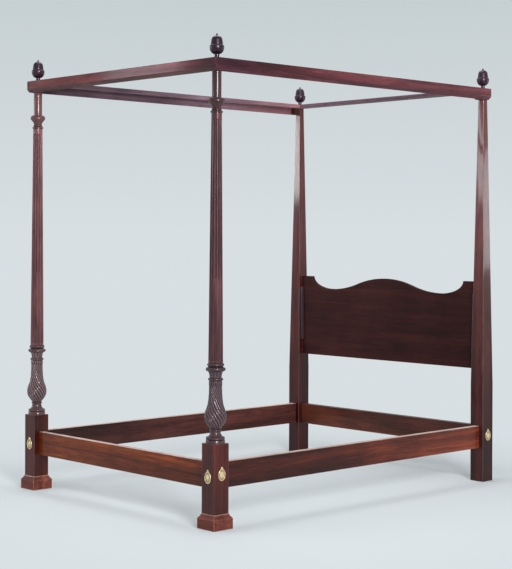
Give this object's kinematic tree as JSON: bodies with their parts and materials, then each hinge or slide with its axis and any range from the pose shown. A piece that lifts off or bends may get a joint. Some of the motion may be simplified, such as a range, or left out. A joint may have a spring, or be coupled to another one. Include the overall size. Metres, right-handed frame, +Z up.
{
  "type": "tester bed",
  "caption": "Wooden tester bed: turned, fluted foot posts, plain tapered head posts, bolted rails, shaped headboard, and a flat canopy frame on pins under acorn finials.",
  "frame": {"origin": "on the floor, in the middle of the bed's outline", "axes": "+Z up, -Y towards the foot of the bed, +X to its right side seen from the foot"},
  "size_m": [1.461, 1.9558, 2.147],
  "materials": {
    "mahogany": "polished red-brown wood",
    "frame_wood": "waxed brown wood",
    "dark_mahogany": "dark glossy turned wood",
    "brass": "aged stamped brass",
    "iron": "dark forged iron"
  },
  "bodies": {
    "frame": {"foot_post_left": "mahogany", "foot_post_right": "mahogany", "head_post_left": "mahogany", "head_post_right": "mahogany", "foot_plinth_left": "mahogany", "foot_plinth_right": "mahogany", "side_rail_left": "mahogany", "side_rail_right": "mahogany", "foot_rail": "mahogany", "head_rail": "mahogany", "side_rail_bolts": "iron", "end_rail_bolts": "iron", "bolt_washers": "iron", "rail_nuts": "iron", "cover_pins": "brass", "headboard": "mahogany", "headboard_cleat_left": "mahogany", "headboard_cleat_right": "mahogany", "cleat_screws": "iron", "post_pins": "iron"},
    "tester": {"tester_lath_foot": "frame_wood", "tester_lath_head": "frame_wood", "tester_lath_left": "frame_wood", "tester_lath_right": "frame_wood", "fascia_foot": "mahogany", "fascia_left": "mahogany", "fascia_right": "mahogany", "fascia_dowels": "frame_wood", "tester_corner_block_left": "frame_wood", "tester_corner_block_right": "frame_wood"},
    "finial_foot_left": {"finial_foot_left": "dark_mahogany"},
    "finial_foot_right": {"finial_foot_right": "dark_mahogany"},
    "finial_head_left": {"finial_head_left": "dark_mahogany"},
    "finial_head_right": {"finial_head_right": "dark_mahogany"},
    "bolt_cover_foot_left_front": {"bolt_cover_foot_left_front": "brass"},
    "bolt_cover_foot_left_outer": {"bolt_cover_foot_left_outer": "brass"},
    "bolt_cover_foot_right_front": {"bolt_cover_foot_right_front": "brass"},
    "bolt_cover_foot_right_outer": {"bolt_cover_foot_right_outer": "brass"},
    "bolt_cover_head_left_back": {"bolt_cover_head_left_back": "brass"},
    "bolt_cover_head_left_outer": {"bolt_cover_head_left_outer": "brass"},
    "bolt_cover_head_right_back": {"bolt_cover_head_right_back": "brass"},
    "bolt_cover_head_right_outer": {"bolt_cover_head_right_outer": "brass"}
  },
  "joints": [
    {"name": "tester_lift", "type": "slide", "parent": "frame", "child": "tester", "axis": [0, 0, 1], "range_m": [0, 0.06]},
    {"name": "finial_foot_left_lift", "type": "slide", "parent": "tester", "child": "finial_foot_left", "axis": [0, 0, 1], "range_m": [0, 0.045]},
    {"name": "finial_foot_right_lift", "type": "slide", "parent": "tester", "child": "finial_foot_right", "axis": [0, 0, 1], "range_m": [0, 0.045]},
    {"name": "finial_head_left_lift", "type": "slide", "parent": "tester", "child": "finial_head_left", "axis": [0, 0, 1], "range_m": [0, 0.045]},
    {"name": "finial_head_right_lift", "type": "slide", "parent": "tester", "child": "finial_head_right", "axis": [0, 0, 1], "range_m": [0, 0.045]},
    {"name": "bolt_cover_foot_left_front_swing", "type": "hinge", "parent": "frame", "child": "bolt_cover_foot_left_front", "pos_m": [-0.675, -0.9644, 0.2535], "axis": [0, -1, 0], "range_deg": [-40, 170]},
    {"name": "bolt_cover_foot_left_outer_swing", "type": "hinge", "parent": "frame", "child": "bolt_cover_foot_left_outer", "pos_m": [-0.717, -0.9224, 0.2665], "axis": [-1, 0, 0], "range_deg": [-170, 40]},
    {"name": "bolt_cover_foot_right_front_swing", "type": "hinge", "parent": "frame", "child": "bolt_cover_foot_right_front", "pos_m": [0.675, -0.9644, 0.2535], "axis": [0, -1, 0], "range_deg": [-170, 40]},
    {"name": "bolt_cover_foot_right_outer_swing", "type": "hinge", "parent": "frame", "child": "bolt_cover_foot_right_outer", "pos_m": [0.717, -0.9224, 0.2665], "axis": [1, 0, 0], "range_deg": [-40, 170]},
    {"name": "bolt_cover_head_left_back_swing", "type": "hinge", "parent": "frame", "child": "bolt_cover_head_left_back", "pos_m": [-0.675, 0.9736, 0.2535], "axis": [0, 1, 0], "range_deg": [-170, 40]},
    {"name": "bolt_cover_head_left_outer_swing", "type": "hinge", "parent": "frame", "child": "bolt_cover_head_left_outer", "pos_m": [-0.716, 0.9326, 0.2665], "axis": [-1, 0, 0], "range_deg": [-40, 170]},
    {"name": "bolt_cover_head_right_back_swing", "type": "hinge", "parent": "frame", "child": "bolt_cover_head_right_back", "pos_m": [0.675, 0.9736, 0.2535], "axis": [0, 1, 0], "range_deg": [-40, 170]},
    {"name": "bolt_cover_head_right_outer_swing", "type": "hinge", "parent": "frame", "child": "bolt_cover_head_right_outer", "pos_m": [0.716, 0.9326, 0.2665], "axis": [1, 0, 0], "range_deg": [-170, 40]}
  ]
}
